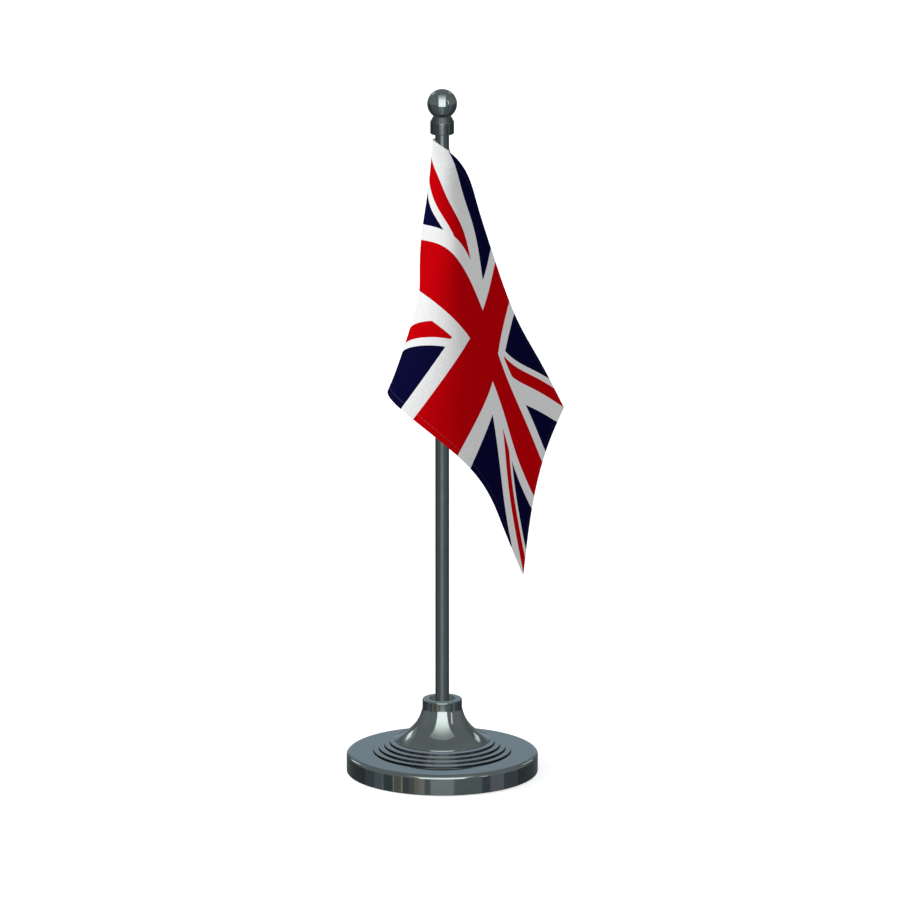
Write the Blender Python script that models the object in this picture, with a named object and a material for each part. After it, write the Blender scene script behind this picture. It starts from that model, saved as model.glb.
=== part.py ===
# Desk flag stand: turned base with ballast, flared neck, tube pole, ball finial and one sewn flag.
# Lengths are in metres, +Z is up, and the origin is on the desk, on the pole's axis.
import math

import bmesh
import bpy
import numpy as np

MM = 0.001

# Clearances
SEAT_GAP = 0.3 * MM  # between pieces that rest on each other
TURN_GAP = 0.06 * MM  # radial, between a shaft and the bore that it turns or slides in
LOOSE_GAP = 0.3 * MM  # radial, between a fixed piece and the hole that it drops into

# Roundness, as sides of the turned pieces
BASE_SIDES = 64
NECK_SIDES = 48
POLE_SIDES = 32

# Base
BASE_RADIUS = 55.0 * MM
PAD_THICKNESS = 1.0 * MM
PAD_INSET = 5.0 * MM  # pad's edge inside the rim
PAD_STAND_OFF = 0.5 * MM  # rim's height above the desk
PLATE_THICKNESS = 1.0 * MM
RIM_WALL = 1.8 * MM
RIM_HEIGHT = 10.3 * MM
RIM_BREAK = 0.4 * MM  # chamfer on the rim's lower edge
SHOULDER_WIDTH = 3.4 * MM
SHOULDER_RISE = 1.9 * MM
COVER_WALL = 1.8 * MM
STEP_COUNT = 4
STEP_OUTER_RADIUS = 39.7 * MM
STEP_TREAD = 3.15 * MM
STEP_RISE = 1.575 * MM

# Neck
NECK_FOOT_RADIUS = 27.5 * MM
NECK_FOOT_EDGE = 0.7 * MM
NECK_COLLAR_RADIUS = 11.4 * MM
NECK_COLLAR_HEIGHT = 5.2 * MM
NECK_HEIGHT = 24.7 * MM  # from its foot to its top face
NECK_FLARE_PULL = (2.2 * MM, 6.7 * MM)  # flare's corner: out from the collar, up from the foot
NECK_TOP_BREAK = 0.5 * MM
MOUTH_RADIUS = 7.7 * MM
MOUTH_DEPTH = 3.6 * MM
SPIGOT_RADIUS = 8.0 * MM
SPIGOT_LENGTH = 7.5 * MM  # below the neck's foot
SOCKET_FLOOR = 1.5 * MM
LINER_WALL = 0.98 * MM

# Clamp bolt and its washers
BOLT_RADIUS = 3.0 * MM
BOLT_HEAD_FLATS = 10.0 * MM
BOLT_HEAD_HEIGHT = 4.0 * MM
BOLT_GRIP = 5.4 * MM  # thread inside the spigot
WASHER_RADIUS = 12.0 * MM
WASHER_THICKNESS = 1.6 * MM
LOCK_WASHER_RADIUS = 5.9 * MM
LOCK_WASHER_THICKNESS = 1.6 * MM
LOCK_WASHER_SPLIT = 1.0 * MM

# Pole
POLE_RADIUS = 4.0 * MM
POLE_WALL = 1.0 * MM
POLE_LENGTH = 362.2 * MM
PLUG_LENGTH = 12.0 * MM
INSERT_LENGTH = 15.0 * MM

# Finial
COLLAR_RADIUS = 6.8 * MM
COLLAR_SKIRT = 6.0 * MM  # collar's length below the pole's end
COLLAR_CROWN = 0.6 * MM  # straight side above the pole's end
COLLAR_CONE = 3.2 * MM
COLLAR_BREAK = 0.3 * MM
BALL_RADIUS = 8.5 * MM
BALL_SEAT_RADIUS = 5.1 * MM
STUD_RADIUS = 2.0 * MM
STUD_IN_INSERT = 12.0 * MM
STUD_IN_BALL = 6.5 * MM

# Flag
FLAG_LENGTH = 233.0 * MM  # hoist to fly, along the cloth
FLAG_HEIGHT = 140.0 * MM
CLOTH_THICKNESS = 0.6 * MM
CLOTH_SLACK = 0.4 * MM  # between cloth and sleeve at the hoist
SLEEVE_WALL = 0.5 * MM
SLEEVE_TOP_DROP = 6.5 * MM  # collar's lower edge to the sleeve's top, on the axis
SLEEVE_TOP_SLOPE = 0.7  # sleeve's top falls towards +X
RING_SECTION = 2.0 * MM

# The cloth hangs through four guide lines, from hoist to fly. Each point says, in millimetres, how far
# it is right of the pole's axis, behind it, and down from the collar's lower edge.
GUIDE_STATIONS = (0, 15, 30, 60, 95, 140, 185, 233)
TOP_EDGE = (
    (1, 7, 3), (-5, -2, 3), (6, -9, 10), (19, 4, 39),
    (28, 10, 70), (41, 24, 110), (55, 43, 141), (70, 68, 176),
)
UPPER_LINE = (
    (1, 7, 50), (-9, -2, 51), (-10, -17, 49), (7, -36, 52),
    (22, -33, 83), (35, -20, 126), (48, 2, 160), (59, 29, 193),
)
LOWER_LINE = (
    (1, 7, 96), (-10, -3, 95), (-12, -17, 95), (-14, -48, 91),
    (7, -69, 103), (30, -60, 144), (40, -37, 183), (51, -8, 217),
)
BOTTOM_EDGE = (
    (1, 7, 143), (-10, -4, 142), (-7, -22, 141), (-27, -48, 136),
    (-22, -81, 142), (16, -94, 172), (34, -75, 209), (46, -45, 246),
)
GUIDE_LINES = (TOP_EDGE, UPPER_LINE, LOWER_LINE, BOTTOM_EDGE)
GUIDE_LEVELS = (0, 47, 93, 140)  # down the cloth from its top edge
CLOTH_COLUMNS = 34
CLOTH_ROWS = 14
COLUMN_CROWDING = 1.4  # above 1, columns stand closer together near the hoist

# Levels that several pieces share
PLATE_BOTTOM = PAD_THICKNESS + SEAT_GAP
PLATE_TOP = PLATE_BOTTOM + PLATE_THICKNESS
WEIGHT_BOTTOM = PLATE_TOP + SEAT_GAP
BASE_TOP = RIM_HEIGHT + SHOULDER_RISE
STEPS_TOP = BASE_TOP + STEP_COUNT * STEP_RISE
NECK_FOOT = STEPS_TOP + SEAT_GAP
NECK_TOP = NECK_FOOT + NECK_HEIGHT
SPIGOT_BOTTOM = NECK_FOOT - SPIGOT_LENGTH
SOCKET_BOTTOM = SPIGOT_BOTTOM + BOLT_GRIP + SEAT_GAP + SOCKET_FLOOR
SOCKET_RADIUS = POLE_RADIUS + TURN_GAP + LINER_WALL + TURN_GAP
POLE_BOTTOM = SOCKET_BOTTOM + SEAT_GAP
POLE_TOP = POLE_BOTTOM + POLE_LENGTH
COLLAR_BOTTOM = POLE_TOP - COLLAR_SKIRT
COLLAR_TOP = POLE_TOP + SEAT_GAP + COLLAR_CROWN + COLLAR_CONE
BALL_SEAT = COLLAR_TOP + SEAT_GAP
BALL_CENTRE = BALL_SEAT + math.sqrt(BALL_RADIUS ** 2 - BALL_SEAT_RADIUS ** 2)
STUD_HOLE_RADIUS = STUD_RADIUS + TURN_GAP
SLEEVE_RADIUS = POLE_RADIUS + TURN_GAP * 4
SLEEVE_BOTTOM = COLLAR_BOTTOM - SLEEVE_TOP_DROP / 2 - FLAG_HEIGHT


def remove_all_objects():
    for old in list(bpy.data.objects):
        bpy.data.objects.remove(old, do_unlink=True)


def material(name, colour, roughness, metallic):
    finish = bpy.data.materials.new(name)
    finish.use_nodes = True
    shader = finish.node_tree.nodes["Principled BSDF"]
    shader.inputs["Base Color"].default_value = (*colour, 1.0)
    shader.inputs["Roughness"].default_value = roughness
    shader.inputs["Metallic"].default_value = metallic
    finish.diffuse_color = (*colour, 1.0)
    return finish


def new_object(name, mesh_builder, finish):
    bmesh.ops.recalc_face_normals(mesh_builder, faces=mesh_builder.faces)
    mesh = bpy.data.meshes.new(name)
    mesh_builder.to_mesh(mesh)
    mesh_builder.free()
    mesh.materials.append(finish)
    item = bpy.data.objects.new(name, mesh)
    bpy.context.scene.collection.objects.link(item)
    return item


def shade_round(item, sharp_angle=math.radians(35)):
    item.data.shade_smooth()
    item.data.set_sharp_from_angle(angle=sharp_angle)


def turned(name, outline, sides, finish, closed=True):
    # Spin an outline of (radius, height) points round the Z axis. An open outline starts and ends on it.
    builder = bmesh.new()
    corners = [builder.verts.new((radius, 0.0, height)) for radius, height in outline]
    edges = [builder.edges.new(pair) for pair in zip(corners, corners[1:])]
    if closed:
        edges.append(builder.edges.new((corners[-1], corners[0])))
    bmesh.ops.spin(
        builder,
        geom=corners + edges,
        cent=(0, 0, 0),
        axis=(0, 0, 1),
        angle=2 * math.pi,
        steps=sides,
        use_merge=True,
    )
    bmesh.ops.remove_doubles(builder, verts=builder.verts, dist=1e-6)
    item = new_object(name, builder, finish)
    shade_round(item)
    return item


def ring_outline(inner, outer, bottom, top):
    return [(inner, bottom), (outer, bottom), (outer, top), (inner, top)]


def arc(centre, radii, start, end, count):
    # Points from one angle to the other, both ends included; radii may differ across and up.
    turn = (end - start) / count
    angles = [start + turn * number for number in range(count + 1)]
    return [
        (centre[0] + radii[0] * math.cos(angle), centre[1] + radii[1] * math.sin(angle))
        for angle in angles
    ]


def base_cover(finish):
    # The turned shell: rim, rounded shoulder, flat top and the steps, hollow below.
    shoulder_radius = BASE_RADIUS - SHOULDER_WIDTH
    outline = [(BASE_RADIUS - RIM_BREAK, PAD_STAND_OFF), (BASE_RADIUS, PAD_STAND_OFF + RIM_BREAK)]
    outline += arc((shoulder_radius, RIM_HEIGHT), (SHOULDER_WIDTH, SHOULDER_RISE), 0, math.pi / 2, 4)
    for step in range(STEP_COUNT):
        radius = STEP_OUTER_RADIUS - step * STEP_TREAD
        height = BASE_TOP + step * STEP_RISE
        outline += [(radius, height), (radius, height + STEP_RISE)]
    bore = SPIGOT_RADIUS + LOOSE_GAP
    outline += [(bore, STEPS_TOP), (bore, STEPS_TOP - COVER_WALL)]
    outline += cover_underside()
    outline += [(BASE_RADIUS - RIM_WALL, PAD_STAND_OFF)]
    return turned("base_cover", outline, BASE_SIDES, finish)


def cover_underside():
    # Cone under the steps, then the flat ceiling out to the rim's wall.
    steps_inner = STEP_OUTER_RADIUS - (STEP_COUNT - 1) * STEP_TREAD
    return [
        (steps_inner - COVER_WALL, STEPS_TOP - COVER_WALL),
        (STEP_OUTER_RADIUS - COVER_WALL / 2, BASE_TOP - COVER_WALL),
        (BASE_RADIUS - RIM_WALL, BASE_TOP - COVER_WALL),
    ]


def base_weight(finish):
    # Cast disc that follows the cover's underside, with a recess below for the bolt and its washers.
    cone_top, cone_foot, wall = cover_underside()
    bore = SPIGOT_RADIUS + LOOSE_GAP
    recess = WASHER_RADIUS + 2 * LOOSE_GAP
    outer = wall[0] - 2 * LOOSE_GAP
    outline = [
        (bore, SPIGOT_BOTTOM - SEAT_GAP),
        (recess, SPIGOT_BOTTOM - SEAT_GAP),
        (recess, WEIGHT_BOTTOM),
        (outer, WEIGHT_BOTTOM),
        (outer, wall[1] - SEAT_GAP),
        (cone_foot[0] - SEAT_GAP, cone_foot[1] - SEAT_GAP),
        (cone_top[0] - SEAT_GAP, cone_top[1] - SEAT_GAP),
        (bore, cone_top[1] - SEAT_GAP),
    ]
    return turned("base_weight", outline, BASE_SIDES, finish)


def base_plate(finish):
    radius = BASE_RADIUS - RIM_WALL - 2 * LOOSE_GAP
    outline = [(0, PLATE_BOTTOM), (radius, PLATE_BOTTOM), (radius, PLATE_TOP), (0, PLATE_TOP)]
    return turned("base_plate", outline, BASE_SIDES, finish, closed=False)


def base_pad(finish):
    radius = BASE_RADIUS - PAD_INSET
    outline = [(0, 0), (radius, 0), (radius, PAD_THICKNESS), (0, PAD_THICKNESS)]
    return turned("base_pad", outline, BASE_SIDES, finish, closed=False)


def flare(count):
    # Quadratic curve from the neck's foot up to the foot of its straight collar.
    foot = (NECK_FOOT_RADIUS, NECK_FOOT + NECK_FOOT_EDGE)
    pull = (NECK_COLLAR_RADIUS + NECK_FLARE_PULL[0], NECK_FOOT + NECK_FLARE_PULL[1])
    top = (NECK_COLLAR_RADIUS, NECK_TOP - NECK_COLLAR_HEIGHT)
    points = []
    for number in range(count + 1):
        share = number / count
        weights = ((1 - share) ** 2, 2 * share * (1 - share), share ** 2)
        points.append(tuple(
            sum(weight * corner[axis] for weight, corner in zip(weights, (foot, pull, top)))
            for axis in range(2)
        ))
    return points


def neck(finish):
    outline = [
        (0, SPIGOT_BOTTOM + BOLT_GRIP + SEAT_GAP),
        (BOLT_RADIUS + TURN_GAP, SPIGOT_BOTTOM + BOLT_GRIP + SEAT_GAP),
        (BOLT_RADIUS + TURN_GAP, SPIGOT_BOTTOM),
        (SPIGOT_RADIUS, SPIGOT_BOTTOM),
        (SPIGOT_RADIUS, NECK_FOOT),
        (NECK_FOOT_RADIUS, NECK_FOOT),
    ]
    outline += flare(10)
    outline += [
        (NECK_COLLAR_RADIUS, NECK_TOP - NECK_TOP_BREAK),
        (NECK_COLLAR_RADIUS - NECK_TOP_BREAK, NECK_TOP),
        (MOUTH_RADIUS, NECK_TOP),
        (SOCKET_RADIUS, NECK_TOP - MOUTH_DEPTH),
        (SOCKET_RADIUS, SOCKET_BOTTOM),
        (0, SOCKET_BOTTOM),
    ]
    return turned("neck", outline, NECK_SIDES, finish, closed=False)


def socket_liner(finish):
    inner = POLE_RADIUS + TURN_GAP
    top = NECK_TOP - MOUTH_DEPTH - SEAT_GAP
    return turned("socket_liner", ring_outline(inner, inner + LINER_WALL, POLE_BOTTOM, top), NECK_SIDES, finish)


def clamp_bolt(finish):
    # Hexagon head and shank, made from one turned shank and a six-sided head bridged to it.
    head_top = SPIGOT_BOTTOM - SEAT_GAP - WASHER_THICKNESS - SEAT_GAP - LOCK_WASHER_THICKNESS - 2 * SEAT_GAP
    head_radius = BOLT_HEAD_FLATS / math.sqrt(3)
    head_bottom = head_top - BOLT_HEAD_HEIGHT
    builder = bmesh.new()
    bmesh.ops.create_circle(builder, cap_ends=True, segments=6, radius=head_radius)
    bmesh.ops.translate(builder, verts=builder.verts, vec=(0, 0, head_bottom))
    raised = bmesh.ops.extrude_face_region(builder, geom=builder.faces[:])
    raised_points = [part for part in raised["geom"] if isinstance(part, bmesh.types.BMVert)]
    bmesh.ops.translate(builder, verts=raised_points, vec=(0, 0, BOLT_HEAD_HEIGHT))
    head = new_object("clamp_bolt", builder, finish)

    shank = bmesh.new()
    shank_length = SPIGOT_BOTTOM + BOLT_GRIP - head_top + BOLT_HEAD_HEIGHT / 2
    bmesh.ops.create_cone(
        shank,
        cap_ends=True,
        segments=24,
        radius1=BOLT_RADIUS,
        radius2=BOLT_RADIUS,
        depth=shank_length,
    )
    middle = head_top - BOLT_HEAD_HEIGHT / 2 + shank_length / 2
    bmesh.ops.translate(shank, verts=shank.verts, vec=(0, 0, middle))
    join_solid(head, shank)
    return head


def join_solid(item, builder):
    # Unite a second closed mesh with the object; the mesh's own helper object is hidden and wire.
    helper = new_object(item.name + "_helper", builder, item.data.materials[0])
    helper.hide_render = True
    helper.display_type = "WIRE"
    union = item.modifiers.new("union", "BOOLEAN")
    union.operation = "UNION"
    union.object = helper


def clamp_washer(finish):
    top = SPIGOT_BOTTOM - 2 * SEAT_GAP
    inner = BOLT_RADIUS + LOOSE_GAP
    return turned("clamp_washer", ring_outline(inner, WASHER_RADIUS, top - WASHER_THICKNESS, top), 40, finish)


def clamp_lock_washer(finish):
    # Split spring washer: a ring swept through all but the width of its split.
    top = SPIGOT_BOTTOM - 3 * SEAT_GAP - WASHER_THICKNESS
    inner = BOLT_RADIUS + LOOSE_GAP / 2
    section = ring_outline(inner, LOCK_WASHER_RADIUS, top - LOCK_WASHER_THICKNESS, top)
    split = LOCK_WASHER_SPLIT / inner
    builder = bmesh.new()
    corners = [builder.verts.new((radius, 0.0, height)) for radius, height in section]
    face = builder.faces.new(corners)
    bmesh.ops.spin(
        builder,
        geom=[face],
        cent=(0, 0, 0),
        axis=(0, 0, 1),
        angle=2 * math.pi - split,
        steps=30,
    )
    return new_object("clamp_lock_washer", builder, finish)


def pole_tube(finish):
    outline = ring_outline(POLE_RADIUS - POLE_WALL, POLE_RADIUS, POLE_BOTTOM, POLE_TOP)
    return turned("pole_tube", outline, POLE_SIDES, finish)


def pole_foot_plug(finish):
    radius = POLE_RADIUS - POLE_WALL - TURN_GAP
    top = POLE_BOTTOM + PLUG_LENGTH
    outline = [(0, POLE_BOTTOM), (radius, POLE_BOTTOM), (radius, top), (0, top)]
    return turned("pole_foot_plug", outline, POLE_SIDES, finish, closed=False)


def pole_top_insert(finish):
    outer = POLE_RADIUS - POLE_WALL - TURN_GAP
    outline = ring_outline(STUD_HOLE_RADIUS, outer, POLE_TOP - INSERT_LENGTH, POLE_TOP)
    return turned("pole_top_insert", outline, POLE_SIDES, finish)


def finial_collar(finish):
    # Skirt over the pole's end, then a cone up to the ball's seat.
    bore = POLE_RADIUS + TURN_GAP
    ceiling = POLE_TOP + SEAT_GAP
    outline = [
        (bore, COLLAR_BOTTOM),
        (COLLAR_RADIUS - COLLAR_BREAK, COLLAR_BOTTOM),
        (COLLAR_RADIUS, COLLAR_BOTTOM + COLLAR_BREAK),
        (COLLAR_RADIUS, ceiling + COLLAR_CROWN),
        (BALL_SEAT_RADIUS, COLLAR_TOP),
        (STUD_HOLE_RADIUS, COLLAR_TOP),
        (STUD_HOLE_RADIUS, ceiling),
        (bore, ceiling),
    ]
    return turned("finial_collar", outline, POLE_SIDES, finish)


def finial_ball(finish):
    # Ball with a flat seat below and a blind threaded hole for the stud.
    seat_angle = -math.acos(BALL_SEAT_RADIUS / BALL_RADIUS)
    hole_top = BALL_SEAT + STUD_IN_BALL + SEAT_GAP
    outline = [(0, hole_top), (STUD_HOLE_RADIUS, hole_top), (STUD_HOLE_RADIUS, BALL_SEAT)]
    outline += arc((0, BALL_CENTRE), (BALL_RADIUS, BALL_RADIUS), seat_angle, math.pi / 2, 14)
    outline[-1] = (0, BALL_CENTRE + BALL_RADIUS)
    return turned("finial_ball", outline, POLE_SIDES, finish, closed=False)


def finial_stud(finish):
    bottom = POLE_TOP - STUD_IN_INSERT
    top = BALL_SEAT + STUD_IN_BALL
    outline = [(0, bottom), (STUD_RADIUS, bottom), (STUD_RADIUS, top), (0, top)]
    return turned("finial_stud", outline, 24, finish, closed=False)


def flag_stop_ring(finish):
    # Soft ring that grips the pole just under the sleeve.
    half = RING_SECTION / 2
    centre = (POLE_RADIUS + TURN_GAP + half, SLEEVE_BOTTOM - SEAT_GAP - half)
    outline = arc(centre, (half, half), 0, 2 * math.pi, 10)[:-1]
    return turned("flag_stop_ring", outline, POLE_SIDES, finish)


def flag_sleeve(finish):
    # Hem that the pole runs through; its upper end is cut on the slant by the cloth's pull.
    top = COLLAR_BOTTOM
    outer = SLEEVE_RADIUS + SLEEVE_WALL
    sleeve = turned(
        "flag_sleeve",
        ring_outline(SLEEVE_RADIUS, outer, SLEEVE_BOTTOM, top),
        POLE_SIDES,
        finish,
    )
    for corner in sleeve.data.vertices:
        if corner.co.z > top - SEAT_GAP:
            corner.co.z = COLLAR_BOTTOM - SLEEVE_TOP_DROP - SLEEVE_TOP_SLOPE * corner.co.x
    return sleeve


def spline_weights(stations, places):
    # Weights of a natural cubic spline: each row gives a place's share of every station's value.
    stations = np.asarray(stations, dtype=float)
    steps = np.diff(stations)
    count = len(stations)
    bends = np.eye(count)
    slopes = np.zeros((count, count))
    for inner in range(1, count - 1):
        before, after = steps[inner - 1], steps[inner]
        bends[inner, inner - 1:inner + 2] = (before, 2 * (before + after), after)
        slopes[inner, inner - 1:inner + 2] = (6 / before, -6 / before - 6 / after, 6 / after)
    curvature = np.linalg.solve(bends, slopes)
    weights = np.zeros((len(places), count))
    for row, place in enumerate(places):
        span = min(max(int(np.searchsorted(stations, place)) - 1, 0), count - 2)
        width = steps[span]
        right = (place - stations[span]) / width
        left = 1 - right
        weights[row, span] += left
        weights[row, span + 1] += right
        weights[row] += (left ** 3 - left) * width ** 2 / 6 * curvature[span]
        weights[row] += (right ** 3 - right) * width ** 2 / 6 * curvature[span + 1]
    return weights


def cloth_points(columns, rows):
    # Middle surface of the hanging cloth, as columns + 1 by rows + 1 points.
    guides = np.array(GUIDE_LINES, dtype=float)
    scale_along = FLAG_LENGTH / MM / GUIDE_STATIONS[-1]
    scale_down = FLAG_HEIGHT / MM / GUIDE_LEVELS[-1]
    guides = guides * (scale_along, scale_along, scale_down)
    places = GUIDE_STATIONS[-1] * np.linspace(0, 1, columns + 1) ** COLUMN_CROWDING
    along = spline_weights(GUIDE_STATIONS, places)
    down = spline_weights(GUIDE_LEVELS, np.linspace(0, GUIDE_LEVELS[-1], rows + 1))
    points = np.einsum("cs,rl,lsa->cra", along, down, guides) * MM
    points[..., 2] = COLLAR_BOTTOM - points[..., 2]
    seat_on_sleeve(points, guides[0, 0, 1] * MM)
    return points


def seat_on_sleeve(points, hoist_distance):
    # The hoist lies just behind the sleeve, and nothing near it cuts into the sleeve.
    seat = SLEEVE_RADIUS + SLEEVE_WALL + CLOTH_SLACK + CLOTH_THICKNESS / 2
    points[..., 1] += seat - hoist_distance
    distance = np.hypot(points[..., 0], points[..., 1])
    push = np.maximum(1.0, seat / distance)
    points[..., 0] *= push
    points[..., 1] *= push


def flag_cloth(finish):
    points = cloth_points(CLOTH_COLUMNS, CLOTH_ROWS)
    builder = bmesh.new()
    corners = [[builder.verts.new(point) for point in column] for column in points]
    for left, right in zip(corners, corners[1:]):
        for top in range(CLOTH_ROWS):
            builder.faces.new((left[top], left[top + 1], right[top + 1], right[top]))
    cloth = new_object("flag_cloth", builder, finish)
    thickness = cloth.modifiers.new("thickness", "SOLIDIFY")
    thickness.thickness = CLOTH_THICKNESS
    thickness.offset = 0
    shade_round(cloth)
    return cloth


def build_stand():
    gunmetal = material("gunmetal", (0.075, 0.088, 0.10), 0.22, 1.0)
    cast_iron = material("cast iron", (0.06, 0.06, 0.06), 0.7, 0.6)
    steel = material("zinc-plated steel", (0.55, 0.56, 0.58), 0.35, 1.0)
    brass = material("brass", (0.72, 0.52, 0.22), 0.3, 1.0)
    felt = material("black felt", (0.02, 0.02, 0.02), 0.95, 0.0)
    nylon = material("black nylon", (0.03, 0.03, 0.03), 0.5, 0.0)
    rubber = material("clear rubber", (0.5, 0.5, 0.5), 0.6, 0.0)
    cloth = material("flag satin", (0.45, 0.02, 0.04), 0.6, 0.0)

    stand = bpy.data.objects.new("stand", None)
    bpy.context.scene.collection.objects.link(stand)
    pieces = [
        base_cover(gunmetal),
        base_weight(cast_iron),
        base_plate(steel),
        base_pad(felt),
        neck(gunmetal),
        socket_liner(nylon),
        clamp_bolt(steel),
        clamp_washer(steel),
        clamp_lock_washer(steel),
        pole_tube(gunmetal),
        pole_foot_plug(nylon),
        pole_top_insert(brass),
        finial_collar(gunmetal),
        finial_ball(gunmetal),
        finial_stud(steel),
        flag_stop_ring(rubber),
        flag_sleeve(cloth),
        flag_cloth(cloth),
    ]
    for piece in pieces:
        piece.parent = stand


remove_all_objects()
build_stand()
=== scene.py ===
# Desk flag stand: finer pieces, finishes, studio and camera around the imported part.
# Sizes in the dictionaries are in millimetres, angles in degrees. +Z is up, the viewer stands at -Y.
import math

import bpy
import numpy as np
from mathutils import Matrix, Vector


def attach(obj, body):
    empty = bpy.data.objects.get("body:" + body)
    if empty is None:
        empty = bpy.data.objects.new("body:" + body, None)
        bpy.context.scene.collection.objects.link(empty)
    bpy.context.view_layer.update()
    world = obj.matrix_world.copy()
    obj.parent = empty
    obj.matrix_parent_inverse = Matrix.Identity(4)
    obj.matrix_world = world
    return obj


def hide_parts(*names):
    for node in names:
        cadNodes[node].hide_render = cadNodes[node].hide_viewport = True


mm = 0.001
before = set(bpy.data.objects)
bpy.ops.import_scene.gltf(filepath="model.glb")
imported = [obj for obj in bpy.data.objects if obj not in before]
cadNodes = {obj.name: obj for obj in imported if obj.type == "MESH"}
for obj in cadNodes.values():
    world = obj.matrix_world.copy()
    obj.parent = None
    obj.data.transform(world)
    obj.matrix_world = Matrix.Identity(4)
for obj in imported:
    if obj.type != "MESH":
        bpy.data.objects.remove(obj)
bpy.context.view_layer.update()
print("frame loaded with", len(cadNodes), "nodes")


def clearSelection():
    if bpy.context.object and bpy.context.object.mode != "OBJECT":
        bpy.ops.object.mode_set(mode="OBJECT")
    bpy.ops.object.select_all(action="DESELECT")


def pick(item):
    clearSelection()
    item.select_set(True)
    bpy.context.view_layer.objects.active = item


def applyModifier(item, name, kind, **settings):
    pick(item)
    step = item.modifiers.new(name, kind)
    for key, value in settings.items():
        setattr(step, key, value)
    bpy.ops.object.modifier_apply(modifier=step.name)


def turnOnLathe(name, profile, sides, capStart=False, capEnd=False):
    # A ring is added at the first radius and height, then extruded and scaled to each next one.
    clearSelection()
    radius, height = profile[0]
    bpy.ops.mesh.primitive_circle_add(
        vertices=sides,
        radius=radius * mm,
        location=(0, 0, height * mm),
        fill_type="TRIFAN" if capStart else "NOTHING",
    )
    item = bpy.context.object
    item.name = name
    item.data.name = name
    bpy.ops.object.transform_apply(location=True, rotation=True, scale=True)
    bpy.ops.object.mode_set(mode="EDIT")
    bpy.ops.mesh.select_mode(type="EDGE")
    bpy.ops.mesh.select_all(action="SELECT")
    if capStart:
        bpy.ops.mesh.region_to_loop()
    rings = list(profile[1:])
    if not capStart and not capEnd:
        rings.append(profile[0])  # an open tube's wall closes on its first ring
    for nextRadius, nextHeight in rings:
        bpy.ops.mesh.extrude_region_move(
            TRANSFORM_OT_translate={"value": (0, 0, (nextHeight - height) * mm)}
        )
        share = nextRadius / radius
        bpy.ops.transform.resize(value=(share, share, 1), center_override=(0, 0, 0))
        radius, height = nextRadius, nextHeight
    if capEnd:
        bpy.ops.mesh.extrude_region_move(TRANSFORM_OT_translate={"value": (0, 0, 0)})
        bpy.ops.mesh.merge(type="CENTER")
    bpy.ops.mesh.select_all(action="SELECT")
    bpy.ops.mesh.remove_doubles(threshold=0.000001)
    bpy.ops.mesh.normals_make_consistent(inside=False)
    bpy.ops.object.mode_set(mode="OBJECT")
    return item


def softenEdges(item, width, segments=3, sharpFrom=28):
    # Small turned edge breaks, then smooth shading that leaves the flats flat.
    applyModifier(
        item, "edge breaks", "BEVEL",
        width=width * mm, segments=segments, limit_method="ANGLE", angle_limit=math.radians(sharpFrom),
    )
    pick(item)
    bpy.ops.object.shade_smooth_by_angle(angle=math.radians(42))
    applyModifier(item, "flat faces", "WEIGHTED_NORMAL", keep_sharp=True, weight=90)


def quarterRound(radius, height, width, rise, count):
    # Points from the side of a corner up and in to its top, as a quarter of an ellipse.
    points = []
    for number in range(1, count + 1):
        angle = math.pi / 2 * number / count
        points.append((radius - width + width * math.cos(angle), height + rise * math.sin(angle)))
    return points


def install(item, body, slotName, material, *replaced):
    item.data.materials.clear()
    item.data.materials.append(material)
    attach(item, body)
    item.visible_glossy = False  # no piece shows in another's mirror finish, only the room does
    if replaced:
        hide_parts(*replaced)


def newMaterial(name, metallic=0.0, **sockets):
    finish = bpy.data.materials.new(name)
    finish.use_nodes = True
    shader = finish.node_tree.nodes["Principled BSDF"]
    shader.inputs["Metallic"].default_value = metallic
    for key, value in sockets.items():
        shader.inputs[key].default_value = value
    return finish, finish.node_tree, shader


def put(tree, socket, value):
    if isinstance(value, bpy.types.NodeSocket):
        tree.links.new(value, socket)
    elif isinstance(value, tuple) and len(value) == 3 and len(socket.default_value) == 4:
        socket.default_value = (*value, 1.0)
    else:
        socket.default_value = value


def calc(tree, operation, first, second=0.0, third=None):
    node = tree.nodes.new("ShaderNodeMath")
    node.operation = operation
    put(tree, node.inputs[0], first)
    put(tree, node.inputs[1], second)
    if third is not None:
        put(tree, node.inputs[2], third)
    return node.outputs[0]


def times(tree, first, second):
    return calc(tree, "MULTIPLY", first, second)


def plus(tree, first, second):
    return calc(tree, "ADD", first, second)


def below(tree, value, limit):
    # 1 where the value is under the limit, 0 elsewhere.
    return calc(tree, "LESS_THAN", value, limit)


def blendColours(tree, share, first, second, kind="MIX"):
    node = tree.nodes.new("ShaderNodeMix")
    node.data_type = "RGBA"
    node.blend_type = kind
    put(tree, node.inputs["Factor"], share)
    put(tree, node.inputs[6], first)
    put(tree, node.inputs[7], second)
    return node.outputs[2]


def remap(tree, value, low, high, toLow, toHigh, smooth=False):
    node = tree.nodes.new("ShaderNodeMapRange")
    node.interpolation_type = "SMOOTHSTEP" if smooth else "LINEAR"
    for number, part in enumerate((value, low, high, toLow, toHigh)):
        put(tree, node.inputs[number], part)
    return node.outputs[0]


def grain(tree, vector, scale, detail=3.0, roughness=0.55):
    node = tree.nodes.new("ShaderNodeTexNoise")
    node.inputs["Scale"].default_value = scale
    node.inputs["Detail"].default_value = detail
    node.inputs["Roughness"].default_value = roughness
    put(tree, node.inputs["Vector"], vector)
    return node.outputs["Fac"]


def objectPlace(tree):
    return tree.nodes.new("ShaderNodeTexCoord").outputs["Object"]


def stretched(tree, vector, scale):
    node = tree.nodes.new("ShaderNodeMapping")
    node.inputs["Scale"].default_value = scale
    put(tree, node.inputs["Vector"], vector)
    return node.outputs["Vector"]


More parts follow.
